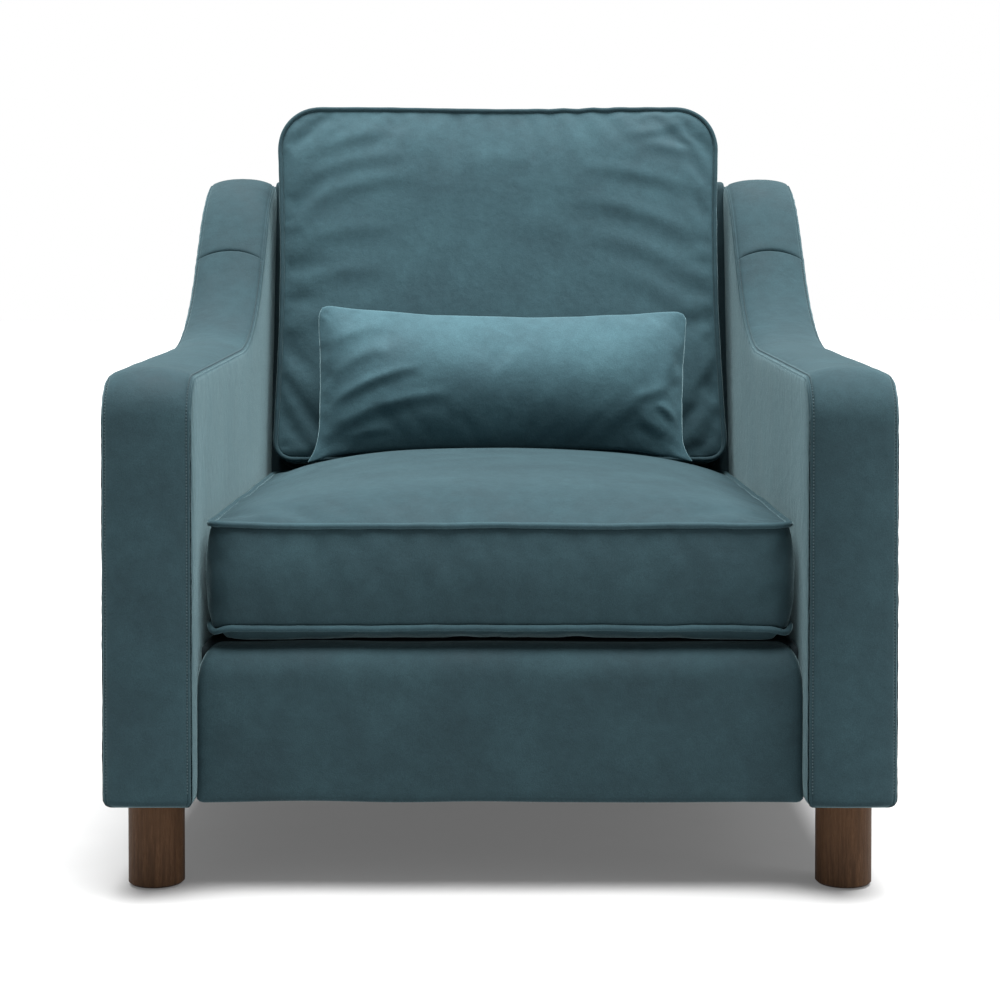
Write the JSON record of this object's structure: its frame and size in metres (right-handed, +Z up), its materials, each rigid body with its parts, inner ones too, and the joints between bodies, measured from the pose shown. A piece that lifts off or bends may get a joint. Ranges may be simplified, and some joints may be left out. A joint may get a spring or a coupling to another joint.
{
  "type": "upholstered armchair",
  "caption": "Velvet armchair with swooping slope arms, boxed and piped loose seat and back cushions, a knife-edged lumbar pillow and turned walnut legs.",
  "frame": {"origin": "on the floor under the middle of the chair, the middle of the underside of its bounding box", "axes": "+Z up, the chair faces -Y, +X to the right of a person who looks at its front"},
  "size_m": [0.89, 0.9608, 0.9576],
  "materials": {
    "velvet": "short-pile teal velvet",
    "piping": "teal velvet bias strip over cord",
    "frame_timber": "planed kiln-dried softwood and birch",
    "foam": "open-cell cushion foam",
    "wadding": "white polyester wadding",
    "deck_fabric": "plain woven teal cotton",
    "lining": "black spunbonded lining",
    "webbing": "black elastic webbing",
    "spring_steel": "drawn spring wire",
    "zinc_steel": "bright zinc plated",
    "leg_walnut": "dark walnut stain, satin lacquer",
    "glide_plastic": "nylon glide",
    "zip_tape": "woven zip tape with coil",
    "zip_metal": "enamelled zip slider"
  },
  "bodies": {
    "chair_frame": {"back_top_rail": "frame_timber", "back_webbing": "webbing", "corner_blocks": "frame_timber", "deck_cloth": "deck_fabric", "deck_pad": "wadding", "dust_cover": "lining", "front_left_leg": "leg_walnut", "front_rail": "frame_timber", "front_rail_cover": "velvet", "front_rail_foam": "foam", "front_right_leg": "leg_walnut", "hanger_bolts": "zinc_steel", "inside_back_cover": "velvet", "inside_back_foam": "foam", "left_arm_band_cover": "velvet", "left_arm_front_foam": "foam", "left_arm_inner_cover": "velvet", "left_arm_inner_foam": "foam", "left_arm_outer_cover": "velvet", "left_arm_outer_padding": "wadding", "left_arm_rail": "frame_timber", "left_arm_top_foam": "foam", "left_arm_upper_cover": "velvet", "left_front_post": "frame_timber", "left_rear_post": "frame_timber", "left_side_rail": "frame_timber", "leg_blocks": "frame_timber", "leg_glides": "glide_plastic", "outside_back_cover": "velvet", "rear_left_leg": "leg_walnut", "rear_rail": "frame_timber", "rear_right_leg": "leg_walnut", "right_arm_band_cover": "velvet", "right_arm_front_foam": "foam", "right_arm_inner_cover": "velvet", "right_arm_inner_foam": "foam", "right_arm_outer_cover": "velvet", "right_arm_outer_padding": "wadding", "right_arm_rail": "frame_timber", "right_arm_top_foam": "foam", "right_arm_upper_cover": "velvet", "right_front_post": "frame_timber", "right_rear_post": "frame_timber", "right_side_rail": "frame_timber", "seat_springs": "spring_steel", "spring_clips": "zinc_steel", "tee_nuts": "zinc_steel"},
    "seat_cushion": {"seat_cushion_foam": "foam", "seat_cushion_cover": "velvet", "seat_cushion_piping": "piping", "seat_cushion_zip": "zip_tape"},
    "seat_zip": {"seat_zip_pull": "zip_metal"},
    "back_cushion": {"back_cushion_filling": "wadding", "back_cushion_cover": "velvet", "back_cushion_piping": "piping", "back_cushion_zip": "zip_tape"},
    "back_zip": {"back_zip_pull": "zip_metal"},
    "lumbar_pillow": {"lumbar_pillow_filling": "wadding", "lumbar_pillow_cover": "velvet"}
  },
  "joints": [
    {"name": "seat_cushion_slide", "type": "slide", "parent": "chair_frame", "child": "seat_cushion", "axis": [0, -1, 0], "range_m": [0, 0.45]},
    {"name": "back_cushion_lift", "type": "slide", "parent": "chair_frame", "child": "back_cushion", "axis": [0, 0.2079, 0.9781], "range_m": [0, 0.4]},
    {"name": "lumbar_pillow_lift", "type": "slide", "parent": "seat_cushion", "child": "lumbar_pillow", "axis": [0, -0.8192, 0.5736], "range_m": [0, 0.3]},
    {"name": "seat_zip_run", "type": "slide", "parent": "seat_cushion", "child": "seat_zip", "axis": [-1, 0, 0], "range_m": [0, 0.49]},
    {"name": "back_zip_run", "type": "slide", "parent": "back_cushion", "child": "back_zip", "axis": [-1, 0, 0], "range_m": [0, 0.49]}
  ]
}
